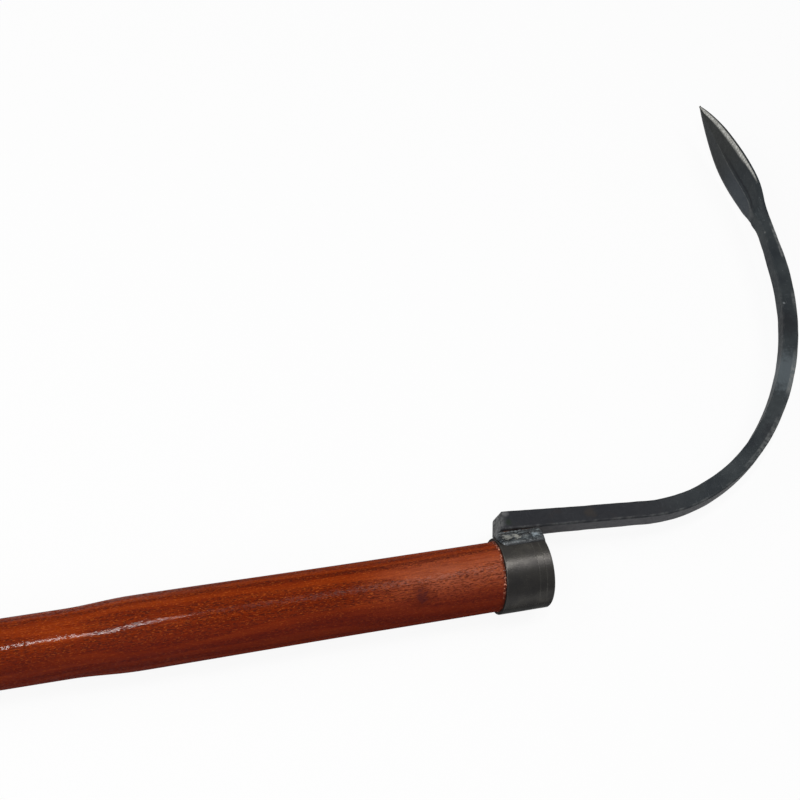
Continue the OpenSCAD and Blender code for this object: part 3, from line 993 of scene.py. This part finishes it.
def tine_masks(s, x, y, out, z, zone, near_side):
    """How worn and ground the surface is at a point of the section at s, how far welding tinted it, and where
    painted highlights, painted shade and painted light fall.
    """
    u = clamp(leaf_share(s))
    e = leafness(s)
    corner = (1 - e) * {"back_corner": 1.0, "rib": 0.5}.get(zone, 0.0)
    rubbed = clamp(0.4 + 1.5 * wobble(x + out, y, z, 260, 5))
    by_corner = {"back_corner": 1.0, "side": 0.7}.get(zone, 0.0)
    # Painted highlight along stretches of the outer corner and the side beside it.
    bright = corner_highlight(s) * by_corner * clamp(0.75 + 0.7 * wobble(x + out, y, z, 300, 2))
    rear = hump(s, 0, rear_wear_w)
    # Painted highlight along the rib's crest on the leaf.
    painted_ridge_highlight = 0.3 * e * clamp((0.8 - u) / 0.2) if zone == "crest" else 0.0
    across = clamp((leaf_half(u) - abs(z)) / bevel_w)
    narrow = mix(0.35, 1, ease((u - bevel_from) / 0.25))
    on_bevel = clamp(0.5 + 2.5 * (narrow - across)) if near_side and zone == "bevel" else 0.0
    at_foot = hump(abs(z) / (rib_share * leaf_half(u)), 0.9, 0.22) if e > 0.3 else 0.0
    by_weld = clamp((bar_overlap + heat_reach - s) / heat_fade) * clamp(0.8 + wobble(x, y, z, 700, 9))
    return {
        # Rubbed corners and rear end, with the painted highlights of the outer corner and the crest.
        "wear_and_highlight": max(0.22 * corner * rubbed, 0.7 * rear * (0.6 + 0.4 * rubbed), bright, painted_ridge_highlight),
        "ground": on_bevel * clamp((u - bevel_from) / 0.05),
        # Painted shade: the crease at the rib's foot, on the near side, is darkened.
        "crease": at_foot * clamp((0.75 - u) / 0.3) if zone in ("rib", "face") and near_side else 0.0,
        # Tint left by welding, painted brighter than its own colour to light the shaded slot above the weld.
        "heat": 0.9 * by_weld if zone in ("back", "back_corner") else 0.0,
        # Painted light: the far half of the leaf's face is made paler.
        "pale": e if zone in ("face", "rib", "bevel") and not near_side else 0.0,
        # Painted light: the bar's outer side is made paler near the root, standing in for light reflected
        # from the floor.
        "outer": (1 - e) * clamp((lit_back_len - s) / lit_back_fade) if zone == "back" else 0.0,
    }


def tine_places():
    """Lengths along the tine at which its sections stand, closest at its rounded rear end."""
    rear = np.linspace(0, end_edge, 5)
    bar = np.arange(end_edge + 1 * mm, leaf_start, bar_step)
    leaf = np.arange(leaf_start, tine_len, leaf_step)
    return [*rear, *bar, *leaf, tine_len]


def tine_piece():
    """The forging: square bar, bends, neck and leaf as one skin, with hammered flats, worn edges, and masks
    for painted highlights, light and shade.
    """
    places = tine_places()
    points = []
    masks = {}
    for s in places:
        x, y, heading = along(s)
        near = half_section(s, 1)
        far = [(out, -z, zone) for out, z, zone in reversed(half_section(s, -1)[1:-1])]
        inset = end_round * (1 - math.sqrt(1 - (1 - clamp(s / end_edge)) ** 2))
        shrink = 1 - inset / bar_half(s)
        flatter = 1 - 0.7 * clamp(leaf_share(s))
        skew = clamp(1 - s / (straight_len / 2)) / root_w
        for index, (out, z, zone) in enumerate(near + far):
            hammered = hammer_h * wobble(x + out, y + out, z, 110, 3)
            hammered += pitting_h * wobble(x + out, y - out, z, 330, 8)
            dent = shrink * (1 + hammered * flatter / bar_half(s))
            reach = out * dent + set_out(s)
            points.append((
                x + reach * math.sin(heading) - reach * end_slant * skew + z * end_turn * skew,
                y - reach * math.cos(heading),
                z * mix(dent, 1, leafness(s)),
            ))
            keep(masks, tine_masks(s, x, y, out, z, zone, index < len(near)))
    faces = closed_skin(len(places), len(near) + len(far))
    new_piece("tine_forging", "tine", points, faces, forged_steel(), 28, masks)


# Weld
def bead_rear(t):
    """Rear end of a bead at share t of the way from the bar down to its toe on the ring."""
    bow = math.sin(math.pi * t / bow_span) ** bow_power
    return mix(front_x - bar_overlap, ring_rear(ferrule_r * math.cos(toe_angle * t)), bow)


def bead_front(t):
    """Front end of a bead at share t of the way down to its toe."""
    return front_x + bead_ahead * (1 - t)


def bead_point(k, t, seed):
    """Point of a bead at share k of its length and share t of the way down to its toe."""
    x = mix(bead_rear(t), bead_front(t), k)
    s = max(0.0, mix(bead_rear(0), bead_front(0), k) - front_x + bar_overlap)
    under = along(s)[1] - bar_half(s) / math.cos(bar_fall) + bead_bite
    angle = mix(math.atan2(bead_reach, under), toe_angle, t)
    gap = math.hypot(under, bead_reach) - ferrule_r
    waist = mix(waist_rear, waist_front, ease(2 * k))
    near_end = clamp(min((x - bead_rear(t)) / bead_rise, (bead_front(t) - x) / bead_fall))
    thick = bead_bulge * mix(end_bulge, 1, math.sqrt(1 - (1 - near_end) ** 2))
    body = (toe_sink + thick * mix(waist, 1, ease(t / waist_end))) * math.sqrt(1 - t ** toe_power)
    fillet = (gap - thick * waist) * (1 - t) ** fillet_power
    lumps = lump_h * wobble(x, angle * ferrule_r, 0, 260, seed)
    lumps += grit_h * wobble(x, angle * ferrule_r, 0, 800, seed)
    lumps += ripple_h * math.sin(2 * math.pi * (x / ripple_len - ripple_bow * math.sin(math.pi * t)))
    lip = toe_lip_h * hump(t, toe_lip_at, 0.04)
    r = ferrule_r - toe_sink + body + fillet + (lumps * math.sin(math.pi * t) + lip) * near_end
    return x, r * math.cos(angle), r * math.sin(angle)


def bead_masks(x, k, t, seed):
    """How far a point of a bead belongs to its dark toe, its painted highlights along crest and lip, and its
    burnt top.
    """
    crest = hump(t, 0.42 + 0.06 * wobble(x, 0, 0, 260, seed), 0.05)
    burnt_end = 0.3 + 0.06 * wobble(x, 0, 0, 500, seed)
    return {
        "toe": hump(t, 1, 0.05),
        # Painted highlight along the bead's crest and its lower lip.
        "painted_ridge_highlight": max(0.6 * crest, 0.5 * hump(t, toe_lip_at, 0.03)),
        "burnt": clamp((burnt_end - t) / 0.06) * clamp((k - 0.06) / 0.1),
    }


def bead_piece(name, node, side, seed, material):
    """One fillet bead between bar and ring, lumpy and rippled."""
    shares = [(j / bead_columns) ** column_power for j in range(bead_columns + 1)]
    points = []
    masks = {}
    for k in (0.0, *steps(bead_rows)):
        section = [bead_point(k, t, seed) for t in shares]
        for t, (x, _, _) in zip(shares, section):
            keep(masks, bead_masks(x, k, t, seed))
        top_x, top_y, _ = section[0]
        toe_x, toe_y, toe_z = section[-1]
        inside = [
            (toe_x, toe_y * toe_depth, toe_z * toe_depth),
            (top_x, ferrule_r * toe_depth, 0.0),
            (top_x, top_y, 0.0),
        ]
        for values in masks.values():
            values += [0.0] * len(inside)
        points += [(x, y, side * z) for x, y, z in section + inside]
    faces = closed_skin(bead_rows + 1, len(shares) + len(inside))
    new_piece(name, node, points, faces, material, 60, masks)


handle_piece()
ferrule_piece()
tine_piece()
weld = weld_metal()
bead_piece("weld_bead_near_side", "weld_bead_near", 1, 3.1, weld)
bead_piece("weld_bead_far_side", "weld_bead_far", -1, 7.7, weld)
for node_name, make in (("wooden_wedge", bare_wood), ("steel_wedge", wedge_steel)):
    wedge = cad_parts[node_name]
    wedge.data.materials.clear()
    wedge.data.materials.append(make())


# Floor, light and camera
def floor_material():
    """Pale floor that keeps a soft shadow: nearly white to the camera and dimmer in reflections."""
    p = Paint("pale_floor")
    p.finish(Base_Color=(0.7, 0.7, 0.7), Roughness=0.9, Specular_IOR_Level=0.1)
    rays = p.node("ShaderNodeLightPath")
    mirrored = p.times(rays.outputs["Is Glossy Ray"], mirrored_white)
    seen = p.math("MAXIMUM", rays.outputs["Is Camera Ray"], mirrored)
    glow = p.node("ShaderNodeEmission")
    p.plug(white, glow.inputs["Color"])
    both = p.node("ShaderNodeMixShader")
    p.plug(p.times(seen, floor_glow), both.inputs[0])
    p.plug(p.shader.outputs[0], both.inputs[1])
    p.plug(glow.outputs[0], both.inputs[2])
    p.plug(both.outputs[0], p.tree.nodes["Material Output"].inputs["Surface"])
    return p.material


def floor_piece():
    mesh = bpy.data.meshes.new("floor")
    z = -ferrule_r - floor_gap
    corners = [(x * floor_half, y * floor_half, z) for x, y in ((-1, -1), (1, -1), (1, 1), (-1, 1))]
    mesh.from_pydata(corners, [], [(0, 1, 2, 3)])
    mesh.materials.append(floor_material())
    piece = put("floor", mesh)


def world_light():
    """World that is white to the camera, dimmer in reflections and dimmest as light."""
    world = bpy.data.worlds.new("studio")
    bpy.context.scene.world = world
    world.use_nodes = True
    sky = Nodes(world.node_tree)
    rays = sky.node("ShaderNodeLightPath")
    dim = sky.math("MULTIPLY_ADD", rays.outputs["Is Glossy Ray"], mirrored_white - sky_light, sky_light)
    background = sky.tree.nodes["Background"]
    sky.plug(white, background.inputs["Color"])
    sky.plug(sky.math("MAXIMUM", rays.outputs["Is Camera Ray"], dim), background.inputs["Strength"])


def area_light(name, from_front, width, depth, power):
    """Lamp at a place given from the ring's front, which it shines at."""
    lamp = bpy.data.lights.new(name, "AREA")
    lamp.shape = "RECTANGLE"
    lamp.size = width
    lamp.size_y = depth
    lamp.energy = power
    light = put(name, lamp)
    light.location = ring_front + Vector(from_front)
    light.rotation_euler = (-Vector(from_front)).to_track_quat("-Z", "Y").to_euler()
    return light


def camera():
    lens = bpy.data.cameras.new("camera")
    lens.sensor_width = sensor_w
    lens.lens = lens_len
    lens.clip_start = 10 * mm
    eye = put("camera", lens)
    eye.location = ring_front + Vector(eye_from_front)
    eye.rotation_euler = Euler(eye_turn)
    bpy.context.scene.camera = eye


floor_piece()
world_light()
lights = {name: area_light(name, *lamp) for name, lamp in lamps.items()}
lights["overhead_strip"].rotation_euler = (0, 0, strip_turn)
camera()
bpy.context.scene.view_settings.view_transform = "Standard"
